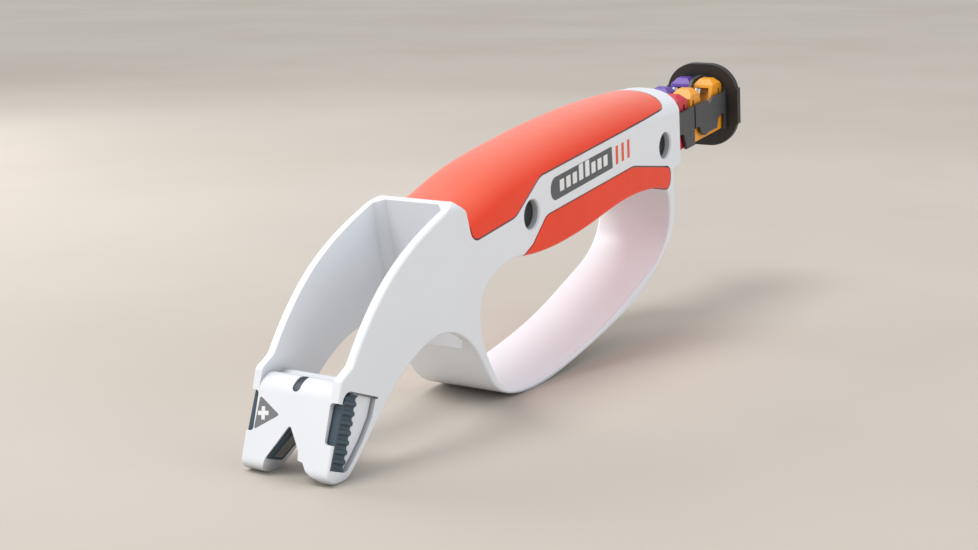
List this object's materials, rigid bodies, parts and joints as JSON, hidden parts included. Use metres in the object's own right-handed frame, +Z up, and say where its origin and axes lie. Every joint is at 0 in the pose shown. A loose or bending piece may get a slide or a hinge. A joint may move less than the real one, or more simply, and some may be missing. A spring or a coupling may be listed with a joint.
{
  "type": "edge tuning tool",
  "caption": "Hand-held edge tuning tool with a knuckle guard, a forked nose holding a sliding V-notch cutter cartridge, and a pull-out tray of spare cartridges in its handle.",
  "frame": {"origin": "centre of the bounding box in X and Y, on the surface that the nose and guard rest on", "axes": "+X from the nose towards the tray cap, +Y to the tool's left, +Z up"},
  "size_m": [0.3171, 0.035, 0.1045],
  "materials": {
    "body_plastic": "satin white moulded plastic",
    "grip_rubber": "soft-touch orange grip",
    "plate_grey": "dark grey inlaid plate",
    "mark_white": "light printed stripes",
    "mark_orange": "orange printed bars",
    "marker_grey": "grey inlaid marker",
    "plug_dark": "black plugs in the wells",
    "liner_plastic": "black moulded liner",
    "spring_steel": "blued spring steel",
    "cutter_plastic": "slate moulded plastic",
    "blade_steel": "ground carbide",
    "tray_plastic": "dark grey moulded tray",
    "cap_plastic": "near-black moulded cap",
    "spare_orange": "amber cartridge",
    "spare_red": "red cartridge",
    "spare_purple": "purple cartridge",
    "spare_grey": "grey cartridge",
    "rod_steel": "polished hone rods"
  },
  "bodies": {
    "handle": {"shell_right": "body_plastic", "shell_left": "body_plastic", "grip_top": "grip_rubber", "grip_bottom": "grip_rubber", "name_plate": "plate_grey", "name_plate_stripes": "mark_white", "accent_bars": "mark_orange", "marker_triangle": "marker_grey", "marker_plus": "mark_white", "front_well_plug": "plug_dark", "rear_well_plug": "plug_dark", "tray_liner": "liner_plastic", "detent_leaf": "spring_steel"},
    "tray": {"tray_frame": "tray_plastic", "tray_cap": "cap_plastic", "spare_orange_housing": "spare_orange", "spare_orange_rods": "rod_steel", "spare_red_housing": "spare_red", "spare_red_rods": "rod_steel", "spare_purple_housing": "spare_purple", "spare_purple_rods": "rod_steel", "spare_grey_housing": "spare_grey", "spare_grey_rods": "rod_steel"},
    "cutter": {"cutter_housing": "cutter_plastic", "cutter_blades": "blade_steel"}
  },
  "joints": [
    {"name": "tray_slide", "type": "slide", "parent": "handle", "child": "tray", "axis": [0.9945, 0, 0.1045], "range_m": [-0.0597, 0.006]},
    {"name": "cutter_slide", "type": "slide", "parent": "handle", "child": "cutter", "axis": [0, 1, 0], "range_m": [-0.03, 0.03]}
  ]
}
